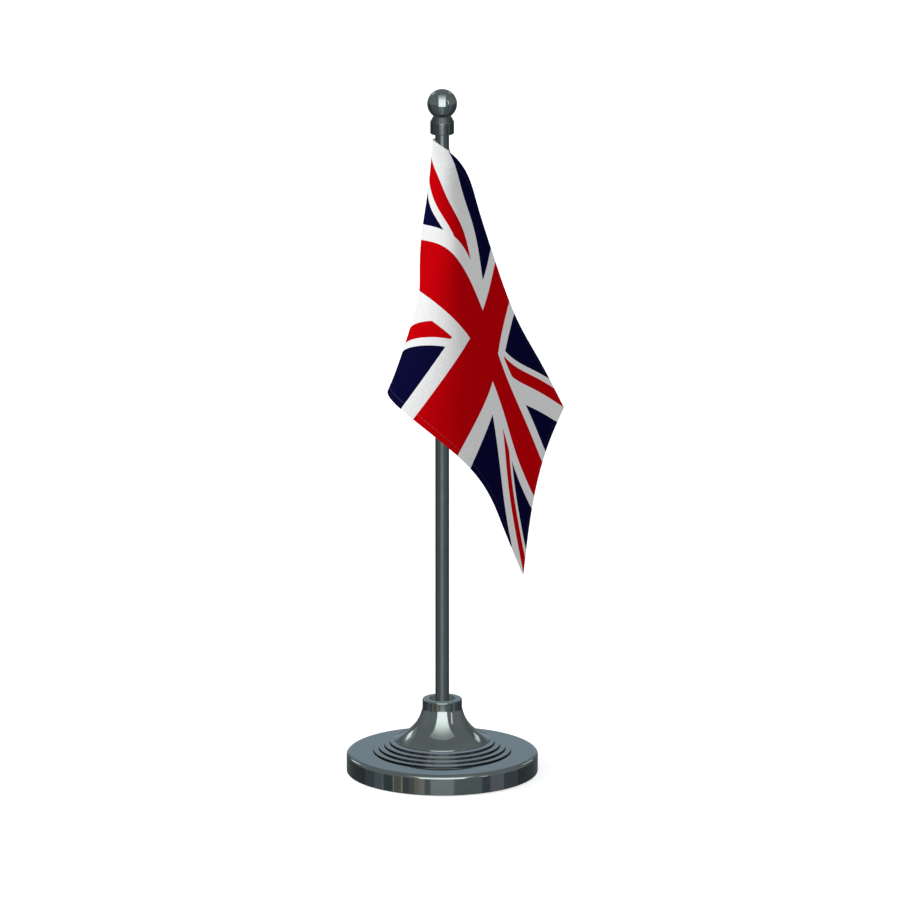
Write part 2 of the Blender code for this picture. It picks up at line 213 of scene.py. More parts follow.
def joinAxes(tree, across=0.0, along=0.0, up=0.0):
    node = tree.nodes.new("ShaderNodeCombineXYZ")
    for number, part in enumerate((across, along, up)):
        put(tree, node.inputs[number], part)
    return node.outputs[0]


def splitAxes(tree, vector):
    node = tree.nodes.new("ShaderNodeSeparateXYZ")
    put(tree, node.inputs[0], vector)
    return node.outputs


def relief(tree, shader, height, depth, strength=1.0):
    node = tree.nodes.new("ShaderNodeBump")
    node.inputs["Strength"].default_value = strength
    node.inputs["Distance"].default_value = depth * mm
    put(tree, node.inputs["Height"], height)
    if shader.inputs["Normal"].links:
        tree.links.new(shader.inputs["Normal"].links[0].from_socket, node.inputs["Normal"])
    tree.links.new(node.outputs[0], shader.inputs["Normal"])


darkNickel = {
    "tone": (0.158, 0.176, 0.174),
    "paleTone": (0.178, 0.195, 0.192),
    "lineTone": (0.115, 0.13, 0.13),
    "lineShare": 0.10,
    "roughness": (0.035, 0.085),
    "lineRoughness": 0.03,
    "cloudScale": 55,  # slow change of tone over the plating
    "smudgeScale": 180,
    "lineDepth": 0.0004,
    "drawnScale": 25.0,
    "brushedBlend": 0.1,  # half the height over which the polish turns to brushing
    # painted shade on the brushed part, as a share of its tone
    "brushedPartPaintedShade": 0.5,
    "brushedRoughness": 0.42,
    "riserDimming": -0.62,
    "riserLead": 0.12,  # how far outside a step's edge its dark ring starts
    "riserWidth": 0.24,
    "riserEnd": 0.3,
}


def toolLines(tree, lineKind, density, place, radius):
    # Fine lines that run round a turned piece, or along a drawn one.
    across, along, up = splitAxes(tree, place)[:3]
    if lineKind == "turned":
        spot = joinAxes(tree, times(tree, radius, density), 0.0, times(tree, up, density))
    else:
        angle = calc(tree, "ARCTAN2", along, across)
        spot = joinAxes(tree, times(tree, angle, density), 0.0, times(tree, up, darkNickel["drawnScale"]))
    return grain(tree, spot, 1.0, 2)


def riserDimming(tree, radius, shade, outer, pitch, count):
    # The steps' upright faces are darkened here, because the room alone leaves them too light.
    inward = calc(tree, "MULTIPLY_ADD", radius, -1 / mm, outer + darkNickel["riserLead"])
    pastRing = times(tree, calc(tree, "FRACT", calc(tree, "DIVIDE", inward, pitch)), pitch)
    nearRing = below(tree, pastRing, darkNickel["riserWidth"])
    insideFirst = calc(tree, "GREATER_THAN", inward, 0.0)
    outsideLast = below(tree, inward, pitch * (count - 1) + darkNickel["riserEnd"])
    onRiser = times(tree, nearRing, times(tree, insideFirst, outsideLast))
    return calc(tree, "MULTIPLY_ADD", onRiser, darkNickel["riserDimming"], shade)


def brushing(tree, up, start, low, high):
    # A value that changes from low to high where the brushed part starts.
    blend = darkNickel["brushedBlend"]
    return remap(tree, up, (start - blend) * mm, (start + blend) * mm, low, high)


def platedFinish(
    name, lineKind, lineDensity, roughnessLift, depthShare=1.0, shade=1.0, brushedFrom=None, risers=None,
):
    # Dark bright plating over turned or drawn metal. Above brushedFrom it is brushed, and darkened with
    # painted shade.
    finish, tree, shader = newMaterial(name, metallic=1.0)
    place = objectPlace(tree)
    across, along, up = splitAxes(tree, place)[:3]
    radius = calc(tree, "SQRT", plus(tree, times(tree, across, across), times(tree, along, along)))
    clouds = grain(tree, place, darkNickel["cloudScale"], 4)
    smudges = grain(tree, place, darkNickel["smudgeScale"], 5, 0.65)
    lines = toolLines(tree, lineKind, lineDensity, place, radius)
    cloudShare = remap(tree, clouds, 0.3, 0.7, 0.0, 1.0)
    tone = blendColours(tree, cloudShare, darkNickel["tone"], darkNickel["paleTone"])
    lineShare = remap(tree, lines, 0.35, 0.65, 0.0, darkNickel["lineShare"])
    tone = blendColours(tree, lineShare, tone, darkNickel["lineTone"])
    low, high = darkNickel["roughness"]
    haze = plus(
        tree,
        remap(tree, smudges, 0.3, 0.75, low, high),
        remap(tree, lines, 0.3, 0.7, 0.0, darkNickel["lineRoughness"]),
    )
    haze = plus(tree, haze, roughnessLift)
    # Painted shade: a shade below 1 darkens the piece's whole tone.
    dimming = shade
    if brushedFrom is not None:
        # Painted shade: above brushedFrom the tone is darkened further.
        dimming = brushing(tree, up, brushedFrom, shade, shade * darkNickel["brushedPartPaintedShade"])
        haze = plus(tree, haze, brushing(tree, up, brushedFrom, 0.0, darkNickel["brushedRoughness"]))
    if risers is not None:
        dimming = riserDimming(tree, radius, shade, *risers)
    tone = blendColours(tree, 1.0, tone, joinAxes(tree, dimming, dimming, dimming), "MULTIPLY")
    put(tree, shader.inputs["Base Color"], tone)
    put(tree, shader.inputs["Roughness"], haze)
    relief(tree, shader, lines, darkNickel["lineDepth"] * depthShare)
    return finish


def plainMetal(name, dark, pale, roughness, scale, depth):
    finish, tree, shader = newMaterial(name, metallic=1.0)
    place = objectPlace(tree)
    patches = grain(tree, place, scale, 5, 0.6)
    fine = grain(tree, stretched(tree, place, (1.0, 1.0, 6.0)), scale * 8, 3)
    paleShare = remap(tree, patches, 0.3, 0.7, 0.0, 1.0)
    put(tree, shader.inputs["Base Color"], blendColours(tree, paleShare, dark, pale))
    put(tree, shader.inputs["Roughness"], remap(tree, fine, 0.3, 0.7, *roughness))
    relief(tree, shader, plus(tree, patches, times(tree, fine, 0.4)), depth)
    return finish


zincPlate = plainMetal("zinc-plated steel", (0.46, 0.47, 0.47), (0.60, 0.61, 0.63), (0.28, 0.42), 260, 0.01)
castIron = plainMetal("cast iron", (0.035, 0.035, 0.037), (0.075, 0.073, 0.070), (0.6, 0.85), 420, 0.12)
turnedBrass = plainMetal("turned brass", (0.60, 0.42, 0.17), (0.74, 0.55, 0.24), (0.22, 0.34), 300, 0.01)


def plainPlastic(name, dark, pale, roughness, scale, depth):
    finish, tree, shader = newMaterial(name)
    place = objectPlace(tree)
    patches = grain(tree, place, scale, 4, 0.6)
    pores = grain(tree, place, scale * 7, 2)
    paleShare = remap(tree, patches, 0.3, 0.7, 0.0, 1.0)
    put(tree, shader.inputs["Base Color"], blendColours(tree, paleShare, dark, pale))
    put(tree, shader.inputs["Roughness"], remap(tree, pores, 0.3, 0.7, *roughness))
    relief(tree, shader, pores, depth)
    return finish


# Each one: dark tone, pale tone, lowest and highest roughness, scale of its patches, depth of its pores.
blackNylon = plainPlastic(
    "black nylon", (0.018, 0.018, 0.019), (0.034, 0.034, 0.036), (0.42, 0.58), 300, 0.01,
)
paleRubber = plainPlastic(
    "clear rubber", (0.50, 0.50, 0.49), (0.64, 0.64, 0.62), (0.32, 0.48), 350, 0.01,
)
deskFelt = plainPlastic(
    "black felt", (0.010, 0.010, 0.011), (0.040, 0.040, 0.042), (0.88, 1.0), 900, 0.35,
)
print("plain metal and plastic finishes mixed")


base = {
    "radius": 55.0,
    "standOff": 0.5,
    "rimWall": 1.8,
    "rimHeight": 10.3,
    "shoulderWidth": 3.4,
    "shoulderRise": 1.9,
    "stepRadius": 39.7,
    "stepTread": 3.15,
    "stepRise": 1.575,
    "steps": 4,
    "wall": 1.8,
    "bore": 8.3,
    "lowerBreak": 0.4,
    "edge": 0.22,
    "shoulderPoints": 14,
    "sides": 256,
}


def makeBaseCover():
    radius, lowerBreak = base["radius"], base["lowerBreak"]
    top = base["rimHeight"] + base["shoulderRise"]
    profile = [
        (radius - lowerBreak, base["standOff"]),
        (radius, base["standOff"] + lowerBreak),
        (radius, base["rimHeight"]),
    ]
    profile += quarterRound(
        radius, base["rimHeight"], base["shoulderWidth"], base["shoulderRise"], base["shoulderPoints"],
    )
    for step in range(base["steps"]):
        riser = base["stepRadius"] - step * base["stepTread"]
        profile.append((riser, top + step * base["stepRise"]))
        profile.append((riser, top + (step + 1) * base["stepRise"]))
    summit = top + base["steps"] * base["stepRise"]
    innerStep = base["stepRadius"] - (base["steps"] - 1) * base["stepTread"]
    profile += [
        (base["bore"], summit),
        (base["bore"], summit - base["wall"]),
        (innerStep - base["wall"], summit - base["wall"]),
        (base["stepRadius"] - base["wall"] / 2, top - base["wall"]),
        (radius - base["rimWall"], top - base["wall"]),
        (radius - base["rimWall"], base["standOff"]),
    ]
    cover = turnOnLathe("baseCover", profile, base["sides"])
    softenEdges(cover, base["edge"])
    return cover


pad = {"radius": 50.0, "thickness": 1.0, "edge": 0.25, "sides": 160}


def makeBasePad():
    capRing = pad["radius"] * 0.5
    profile = [
        (capRing, 0),
        (pad["radius"], 0),
        (pad["radius"], pad["thickness"]),
        (capRing, pad["thickness"]),
    ]
    item = turnOnLathe("basePad", profile, pad["sides"], capStart=True, capEnd=True)
    softenEdges(item, pad["edge"], 2)
    return item


baseFinish = platedFinish(
    "dark nickel, turned base", "turned", 2600, 0.0, 0.5,
    risers=(base["stepRadius"], base["stepTread"], base["steps"]),
)
install(makeBaseCover(), "base", "gunmetal_base", baseFinish, "base_cover")
install(makeBasePad(), "base", "felt", deskFelt, "base_pad")
print("base cover and pad turned")


neck = {
    "foot": 18.8,
    "top": 43.5,
    "footRadius": 27.5,
    "footEdge": 0.7,
    "collarRadius": 11.4,
    "collarHeight": 5.2,
    "flarePull": (2.2, 6.7),
    "topBreak": 0.5,
    "mouthRadius": 7.7,
    "mouthDepth": 3.6,
    "socketRadius": 5.1,
    "socketBottom": 18.5,
    "spigotRadius": 8.0,
    "spigotBottom": 11.3,
    "threadRadius": 3.06,
    "threadTop": 17.0,
    "edge": 0.2,
    "flarePoints": 36,
    "sides": 192,
}


def flareCurve(count):
    # Hollow curve from the foot's edge up to the straight collar.
    foot = (neck["footRadius"], neck["foot"] + neck["footEdge"])
    pull = (neck["collarRadius"] + neck["flarePull"][0], neck["foot"] + neck["flarePull"][1])
    head = (neck["collarRadius"], neck["top"] - neck["collarHeight"])
    points = []
    for number in range(count + 1):
        share = number / count
        weights = ((1 - share) ** 2, 2 * share * (1 - share), share ** 2)
        corners = tuple(zip(weights, (foot, pull, head)))
        points.append(tuple(sum(weight * corner[axis] for weight, corner in corners) for axis in range(2)))
    return points


def makeNeck():
    profile = [
        (neck["threadRadius"], neck["threadTop"]),
        (neck["threadRadius"], neck["spigotBottom"]),
        (neck["spigotRadius"], neck["spigotBottom"]),
        (neck["spigotRadius"], neck["foot"]),
        (neck["footRadius"], neck["foot"]),
    ]
    profile += flareCurve(neck["flarePoints"])
    profile += [
        (neck["collarRadius"], neck["top"] - neck["topBreak"]),
        (neck["collarRadius"] - neck["topBreak"], neck["top"]),
        (neck["mouthRadius"], neck["top"]),
        (neck["socketRadius"], neck["top"] - neck["mouthDepth"]),
        (neck["socketRadius"], neck["socketBottom"]),
    ]
    item = turnOnLathe("neck", profile, neck["sides"], capStart=True, capEnd=True)
    softenEdges(item, neck["edge"])
    return item


liner = {"innerRadius": 4.06, "outerRadius": 5.04, "bottom": 18.8, "top": 39.6, "edge": 0.15, "sides": 96}


def makeSocketLiner():
    profile = [
        (liner["innerRadius"], liner["bottom"]),
        (liner["outerRadius"], liner["bottom"]),
        (liner["outerRadius"], liner["top"]),
        (liner["innerRadius"], liner["top"]),
    ]
    item = turnOnLathe("socketLiner", profile, liner["sides"])
    softenEdges(item, liner["edge"], 2)
    return item


neckFinish = platedFinish("dark nickel, polished neck", "turned", 1500, 0.01, 0.5)
install(makeNeck(), "base", "gunmetal_neck", neckFinish, "neck")
install(makeSocketLiner(), "liner", "nylon", blackNylon, "socket_liner")
print("neck and liner turned")


pole = {"radius": 4.0, "wall": 1.0, "bottom": 18.8, "top": 381.0, "edge": 0.15, "sides": 96}


def makePole():
    inner = pole["radius"] - pole["wall"]
    profile = [
        (inner, pole["bottom"]),
        (pole["radius"], pole["bottom"]),
        (pole["radius"], pole["top"]),
        (inner, pole["top"]),
    ]
    item = turnOnLathe("poleTube", profile, pole["sides"])
    softenEdges(item, pole["edge"], 2)
    return item


finial = {
    "collarRadius": 6.8,
    "collarBottom": 375.0,
    "collarCorner": 381.9,
    "collarTop": 385.1,
    "ceiling": 381.3,
    "bore": 4.06,
    "studHole": 2.06,
    "seatRadius": 5.1,
    "ballSeat": 385.4,
    "ballRadius": 8.5,
    "ballHoleTop": 392.2,
    "lowerBreak": 0.3,
    "collarEdge": 0.16,
    "collarSharpFrom": 18,  # the cone meets the straight side at less than the usual sharp angle
    "ballEdge": 0.15,
    "ballPoints": 56,
    "sides": 128,
}


def makeCollar():
    profile = [
        (finial["bore"], finial["collarBottom"]),
        (finial["collarRadius"] - finial["lowerBreak"], finial["collarBottom"]),
        (finial["collarRadius"], finial["collarBottom"] + finial["lowerBreak"]),
        (finial["collarRadius"], finial["collarCorner"]),
        (finial["seatRadius"], finial["collarTop"]),
        (finial["studHole"], finial["collarTop"]),
        (finial["studHole"], finial["ceiling"]),
        (finial["bore"], finial["ceiling"]),
    ]
    item = turnOnLathe("finialCollar", profile, finial["sides"])
    softenEdges(item, finial["collarEdge"], sharpFrom=finial["collarSharpFrom"])
    return item


def makeBall():
    # A ball cut flat at its seat and drilled up from there for the stud.
    radius = finial["ballRadius"]
    middle = finial["ballSeat"] + math.sqrt(radius ** 2 - finial["seatRadius"] ** 2)
    seatAngle = -math.acos(finial["seatRadius"] / radius)
    profile = [(finial["studHole"], finial["ballHoleTop"]), (finial["studHole"], finial["ballSeat"])]
    for number in range(finial["ballPoints"]):
        angle = seatAngle + (math.pi / 2 - seatAngle) * number / finial["ballPoints"]
        profile.append((radius * math.cos(angle), middle + radius * math.sin(angle)))
    item = turnOnLathe("finialBall", profile, finial["sides"], capStart=True, capEnd=True)
    crown = max(item.data.vertices, key=lambda corner: corner.co.z - math.hypot(corner.co.x, corner.co.y))
    crown.co.z = (middle + radius) * mm
    softenEdges(item, finial["ballEdge"])
    return item


fittings = {
    "radius": 2.94,
    "break": 0.3,
    "plug": (18.8, 30.8),
    "insert": (366.0, 381.0),
    "insertBore": 2.06,
    "grooveDepth": 0.16,
    "grooves": (368.5, 372.0, 375.5),
    "grooveWidth": 0.9,
    "stud": (369.0, 391.9),
    "studRadius": 2.0,
    "threadPitch": 0.7,
    "threadDepth": 0.2,
    "threadRise": (0.3, 0.8),  # shares of the pitch at which a ridge peaks and ends
    "pointSize": 0.5,
    "pointRise": 0.3,
    "plugEdge": 0.1,
    "insertEdge": 0.06,
    "studSides": 40,
    "sides": 64,
}


def makeFootPlug():
    low, high = fittings["plug"]
    radius, edge = fittings["radius"], fittings["break"]
    profile = [(radius - edge, low), (radius, low + edge), (radius, high - edge), (radius - edge, high)]
    item = turnOnLathe("poleFootPlug", profile, fittings["sides"], capStart=True, capEnd=True)
    softenEdges(item, fittings["plugEdge"], 2)
    return item


def makeTopInsert():
    low, high = fittings["insert"]
    radius, depth, width = fittings["radius"], fittings["grooveDepth"], fittings["grooveWidth"]
    profile = [(fittings["insertBore"], low), (radius, low)]
    for height in fittings["grooves"]:
        profile += [
            (radius, height),
            (radius - depth, height + depth),
            (radius - depth, height + width - depth),
            (radius, height + width),
        ]
    profile += [(radius, high), (fittings["insertBore"], high)]
    item = turnOnLathe("poleTopInsert", profile, fittings["sides"])
    softenEdges(item, fittings["insertEdge"], 2)
    return item


def makeStud():
    # Ridges at the thread's pitch between two pointed ends.
    low, high = fittings["stud"]
    radius, depth, pitch = fittings["studRadius"], fittings["threadDepth"], fittings["threadPitch"]
    point = fittings["pointSize"]
    peak, end = fittings["threadRise"]
    profile = [(radius - point, low), (radius - depth, low + fittings["pointRise"])]
    for number in range(int((high - low - 2 * point) / pitch)):
        height = low + point + number * pitch
        profile += [(radius, height + pitch * peak), (radius - depth, height + pitch * end)]
    profile.append((radius - point, high))
    item = turnOnLathe("finialStud", profile, fittings["studSides"], capStart=True, capEnd=True)
    pick(item)
    bpy.ops.object.shade_smooth_by_angle(angle=math.radians(20))
    return item


poleFinish = platedFinish("dark nickel, drawn pole", "drawn", 26, 0.02)
finialFinish = platedFinish("dark nickel, polished finial", "turned", 1500, 0.0, 0.4)
# Painted shade: the collar is the finial's plating, darkened overall by shade, and more on its cone.
collarFinish = platedFinish(
    "dark nickel, brushed collar with painted shade", "turned", 1500, 0.02, 0.4, shade=0.74, brushedFrom=finial["collarCorner"],
)
install(makePole(), "pole", "gunmetal_pole", poleFinish, "pole_tube")
install(makeFootPlug(), "pole", "nylon", blackNylon, "pole_foot_plug")
install(makeTopInsert(), "pole", "brass", turnedBrass, "pole_top_insert")
install(makeStud(), "stud", "plated_steel", zincPlate, "finial_stud")
install(makeCollar(), "finial", "gunmetal_finial", collarFinish, "finial_collar")
install(makeBall(), "finial", "gunmetal_finial", finialFinish, "finial_ball")
print("pole, fittings, collar and ball turned")


flag = {
    "length": 233.0,
    "height": 140.0,
    "thickness": 0.34,
    "hemWidth": 4.0,
    "hemThickness": 0.58,
    "hemGap": 0.5,  # from a hem's edge to the first even line
    "columns": 210,
    "rows": 120,
    "hangFrom": 375.0,
    "seat": 5.44,  # radius that the cloth keeps clear around the sleeve
    "stations": (0, 15, 30, 60, 95, 140, 185, 233),
    "levels": (0, 47, 93, 140),
}
# Each point: right of the pole, behind it, and down from the collar's lower edge, from hoist to fly.
# A fitting program outside this script worked these points out, and they were then rounded. They are
# data and not a design, so they are not an example to follow and are due to be redrawn by hand.
topEdge = (
    (1, 7, 5), (-5, -2, 3), (6, -9, 10), (19, 4, 39),
    (28, 10, 70), (41, 24, 110), (55, 43, 141), (70, 68, 176),
)
upperLine = (
    (1, 7, 50), (-9, -2, 51), (-10, -17, 49), (7, -36, 52),
    (22, -33, 83), (35, -20, 126), (48, 2, 160), (59, 29, 193),
)
lowerLine = (
    (1, 7, 96), (-10, -3, 95), (-12, -17, 95), (-14, -48, 91),
    (7, -69, 103), (30, -60, 144), (40, -37, 183), (51, -8, 217),
)
bottomEdge = (
    (1, 7, 143), (-10, -4, 142), (-7, -22, 141), (-27, -48, 136),
    (-22, -81, 142), (16, -94, 172), (34, -75, 209), (46, -45, 246),
)


def splineShares(stations, places):
    # Natural cubic spline: each row gives a place's share of every station's value.
    stations = np.asarray(stations, dtype=float)
    steps = np.diff(stations)
    count = len(stations)
    bends = np.eye(count)
    slopes = np.zeros((count, count))
    for inner in range(1, count - 1):
        before, after = steps[inner - 1], steps[inner]
        bends[inner, inner - 1:inner + 2] = (before, 2 * (before + after), after)
        slopes[inner, inner - 1:inner + 2] = (6 / before, -6 / before - 6 / after, 6 / after)
    curvature = np.linalg.solve(bends, slopes)
    shares = np.zeros((len(places), count))
    for row, place in enumerate(places):
        span = min(max(int(np.searchsorted(stations, place)) - 1, 0), count - 2)
        width = steps[span]
        right = (place - stations[span]) / width
        left = 1 - right
        shares[row, span] += left
        shares[row, span + 1] += right
        shares[row] += (left ** 3 - left) * width ** 2 / 6 * curvature[span]
        shares[row] += (right ** 3 - right) * width ** 2 / 6 * curvature[span + 1]
    return shares


def clothLines(size, count, hemBoth):
    # Where the cloth's mesh lines lie: evenly spaced, with three close lines across each hem.
    hem, gap = flag["hemWidth"], flag["hemGap"]
    low = hem + gap if hemBoth else 0.0
    inside = np.linspace(low, size - hem - gap, count)
    edges = [0.0, hem * 0.5, hem] if hemBoth else []
    return np.array(edges + list(inside) + [size - hem, size - hem * 0.5, size])


def clothSurface(along, down):
    guides = np.array((topEdge, upperLine, lowerLine, bottomEdge), dtype=float)
    shares = splineShares(flag["stations"], along), splineShares(flag["levels"], down)
    points = np.einsum("cs,rl,lsa->cra", *shares, guides)
    points[..., 2] = flag["hangFrom"] - points[..., 2]
    points[..., 1] += flag["seat"] - guides[0, 0, 1]
    distance = np.hypot(points[..., 0], points[..., 1])
    push = np.maximum(1.0, flag["seat"] / distance)
    points[..., 0] *= push
    points[..., 1] *= push
    return points * mm


def addPrintMap(mesh, along, down):
    layer = mesh.uv_layers.new(name="print")
    grid = np.meshgrid(along / flag["length"], 1 - down / flag["height"], indexing="ij")
    places = np.stack(grid, -1).reshape(-1, 2)
    order = np.empty(len(mesh.loops), dtype=int)
    mesh.loops.foreach_get("vertex_index", order)
    layer.data.foreach_set("uv", places[order].ravel())


def weightHems(cloth, along, down):
    # Full thickness on the hems, and a share of it on the single cloth between them.
    group = cloth.vertex_groups.new(name="hem")
    single = flag["thickness"] / flag["hemThickness"]
    rows = len(down)
    for column, across in enumerate(along):
        for row, drop in enumerate(down):
            edge = min(drop, flag["height"] - drop, flag["length"] - across)
            inHem = edge <= flag["hemWidth"] + 0.01
            group.add([column * rows + row], 1.0 if inHem else single, "REPLACE")


def makeFlag():
    along = clothLines(flag["length"], flag["columns"], False)
    down = clothLines(flag["height"], flag["rows"], True)
    corners = clothSurface(along, down).reshape(-1, 3)
    rows = len(down)
    faces = []
    for column in range(len(along) - 1):
        for row in range(rows - 1):
            here, beside = column * rows + row, (column + 1) * rows + row
            faces.append((here, here + 1, beside + 1, beside))
    mesh = bpy.data.meshes.new("flagCloth")
    mesh.from_pydata(corners.tolist(), [], faces)
    cloth = bpy.data.objects.new("flagCloth", mesh)
    bpy.context.scene.collection.objects.link(cloth)
    addPrintMap(mesh, along, down)
    weightHems(cloth, along, down)
    applyModifier(
        cloth, "thickness", "SOLIDIFY",
        thickness=flag["hemThickness"] * mm, offset=0, vertex_group="hem",
    )
    pick(cloth)
    bpy.ops.object.shade_smooth_by_angle(angle=math.radians(50))
    return cloth


# Printed satin. The pattern counts in thirtieths of the flag's height, from its middle.
satin = {
    "navy": (0.0035, 0.0035, 0.034),
    "crimson": (0.54, 0.0005, 0.0035),
    "white": (0.85, 0.855, 0.86),
    "patternLength": 50.0,
    "patternHeight": 30.0,
    "slope": 0.6,
    "saltireHalf": 3.4985,
    "redStripe": 2.332,
    "crossHalf": 3.0,
    "crossEdgeHalf": 5.0,
    "threadPitch": 0.42,
    "tint": (0.90, 1.04),
    "roughness": (0.46, 0.62),
    "weaveDepth": 0.03,
    "slubDepth": 0.35,
    "stitchInset": 3.2,
    "stitchPitch": 2.4,
    "stitchShare": 0.75,
    "stitchHalf": 0.16,
    "stitchTone": (0.3, 0.3, 0.3),
    "stitchStrength": 0.12,
}


def printedPattern(tree, across, up):
    # Two crossed diagonals, the red one set to one side of the white, under an upright cross.
    length, height = satin["patternLength"], satin["patternHeight"]
    right = calc(tree, "MULTIPLY_ADD", across, length, -length / 2)
    above = calc(tree, "MULTIPLY_ADD", up, height, -height / 2)
    rightSize = calc(tree, "ABSOLUTE", right)
    aboveSize = calc(tree, "ABSOLUTE", above)
    turn = calc(tree, "SIGN", times(tree, right, above))
    fromDiagonal = calc(tree, "SUBTRACT", aboveSize, times(tree, rightSize, satin["slope"]))
    offset = times(tree, turn, fromDiagonal)
    middle = calc(tree, "SUBTRACT", offset, satin["redStripe"] / 2)
    nearest = calc(tree, "MINIMUM", rightSize, aboveSize)
    whiteSaltire = below(tree, calc(tree, "ABSOLUTE", offset), satin["saltireHalf"])
    redSaltire = below(tree, calc(tree, "ABSOLUTE", middle), satin["redStripe"] / 2)
    colour = blendColours(tree, whiteSaltire, satin["navy"], satin["white"])
    colour = blendColours(tree, redSaltire, colour, satin["crimson"])
    colour = blendColours(tree, below(tree, nearest, satin["crossEdgeHalf"]), colour, satin["white"])
    return blendColours(tree, below(tree, nearest, satin["crossHalf"]), colour, satin["crimson"])


def addStitches(tree, colour, acrossMm, upMm):
    # A dashed seam just inside the top, bottom and fly edges.
    toHem = calc(tree, "MINIMUM", upMm, calc(tree, "SUBTRACT", flag["height"], upMm))
    toHem = calc(tree, "MINIMUM", toHem, calc(tree, "SUBTRACT", flag["length"], acrossMm))
    fromSeam = calc(tree, "ABSOLUTE", calc(tree, "SUBTRACT", toHem, satin["stitchInset"]))
    count = calc(tree, "DIVIDE", plus(tree, acrossMm, upMm), satin["stitchPitch"])
    dashes = below(tree, calc(tree, "FRACT", count), satin["stitchShare"])
    stitch = times(tree, below(tree, fromSeam, satin["stitchHalf"]), dashes)
    return blendColours(tree, times(tree, stitch, satin["stitchStrength"]), colour, satin["stitchTone"])


def threadWave(tree, position):
    return calc(tree, "SINE", times(tree, position, 2 * math.pi / satin["threadPitch"]))


def clothGrain(tree, acrossMm, upMm, acrossScale, upScale):
    return grain(tree, joinAxes(tree, times(tree, acrossMm, acrossScale), times(tree, upMm, upScale)), 1.0, 3)


def satinFinish(name, printed=True):
    finish, tree, shader = newMaterial(name, **{"Specular IOR Level": 0.0})
    place = tree.nodes.new("ShaderNodeUVMap")
    place.uv_map = "print"
    across, up = splitAxes(tree, place.outputs[0])[:2]
    acrossMm = times(tree, across, flag["length"])
    upMm = times(tree, up, flag["height"])
    slubs = clothGrain(tree, acrossMm, upMm, 1.6, 0.35)
    picks = clothGrain(tree, acrossMm, upMm, 0.5, 2.2)
    shade = plus(tree, times(tree, slubs, 0.5), times(tree, picks, 0.5))
    tint = remap(tree, shade, 0.38, 0.62, *satin["tint"])
    colour = printedPattern(tree, across, up) if printed else satin["white"]
    colour = blendColours(tree, 1.0, colour, joinAxes(tree, tint, tint, tint), "MULTIPLY")
    if printed:
        colour = addStitches(tree, colour, acrossMm, upMm)
    put(tree, shader.inputs["Base Color"], colour)
    fuzz = grain(tree, joinAxes(tree, acrossMm, upMm), 0.9, 4, 0.7)
    put(tree, shader.inputs["Roughness"], remap(tree, fuzz, 0.3, 0.7, *satin["roughness"]))
    weave = plus(tree, times(tree, threadWave(tree, acrossMm), 0.5), times(tree, threadWave(tree, upMm), 0.5))
    relief(tree, shader, weave, satin["weaveDepth"])
    relief(tree, shader, shade, satin["slubDepth"], 0.5)
    return finish


flagSatin = satinFinish("printed satin")
hemSatin = satinFinish("white satin of the sleeve", printed=False)

sleeve = {
    "innerRadius": 4.22,
    "outerRadius": 4.74,
    "bottom": 231.75,
    "topOnAxis": 368.5,
    "topSlope": 0.7,
    "seamReach": 0.34,  # how far the seam stands out at the back, to meet the cloth
    "seamWidth": 0.35,  # radians
    "smoothWidth": 0.5,  # radians beside the seam where the wrinkles fade
    "wrinkle": 0.10,
    "printRadius": 4.7,
    "sides": 96,
    "rings": 90,
}


def sleeveRadius(angle, height):
    # Slightly wrinkled, standing out at the back where the cloth is stitched on.
    drift = math.sin(height * 0.35 + 2.3 * math.sin(angle * 2 + height * 0.05))
    fold = drift * math.sin(angle * 3 + height * 0.11)
    seam = math.exp(-(angle / sleeve["seamWidth"]) ** 2) * sleeve["seamReach"]
    wrinkled = 1 - math.exp(-(angle / sleeve["smoothWidth"]) ** 2)
    return (sleeve["outerRadius"] + sleeve["wrinkle"] * fold * wrinkled + seam) * mm


def makeSleeve():
    bottom, top = sleeve["bottom"], sleeve["topOnAxis"]
    heights = np.linspace(bottom, top, sleeve["rings"])
    profile = [(sleeve["innerRadius"], bottom)]
    profile += [(sleeve["outerRadius"], height) for height in heights]
    profile += [(sleeve["innerRadius"], height) for height in heights[::-6]][:-1]
    item = turnOnLathe("flagSleeve", profile, sleeve["sides"])
    layer = item.data.uv_layers.new(name="print")
    for corner in item.data.vertices:
        radius = math.hypot(corner.co.x, corner.co.y)
        height = corner.co.z / mm
        if radius > (sleeve["innerRadius"] + 0.1) * mm:
            target = sleeveRadius(math.atan2(corner.co.x, corner.co.y), height)
            corner.co.x *= target / radius
            corner.co.y *= target / radius
        share = (height - bottom) / (top - bottom)
        corner.co.z -= sleeve["topSlope"] * corner.co.x * max(0.0, share * 6 - 5)
    for loop in item.data.loops:
        corner = item.data.vertices[loop.vertex_index].co
        angle = math.atan2(corner.x, corner.y)
        across = angle * sleeve["printRadius"] / flag["length"]
        layer.data[loop.index].uv = (across, corner.z / mm / flag["height"])
    pick(item)
    bpy.ops.object.shade_smooth_by_angle(angle=math.radians(50))
    return item


stopRing = {"section": 2.0, "radius": 5.06, "height": 230.45, "rib": 0.04, "sides": 96, "facets": 24}


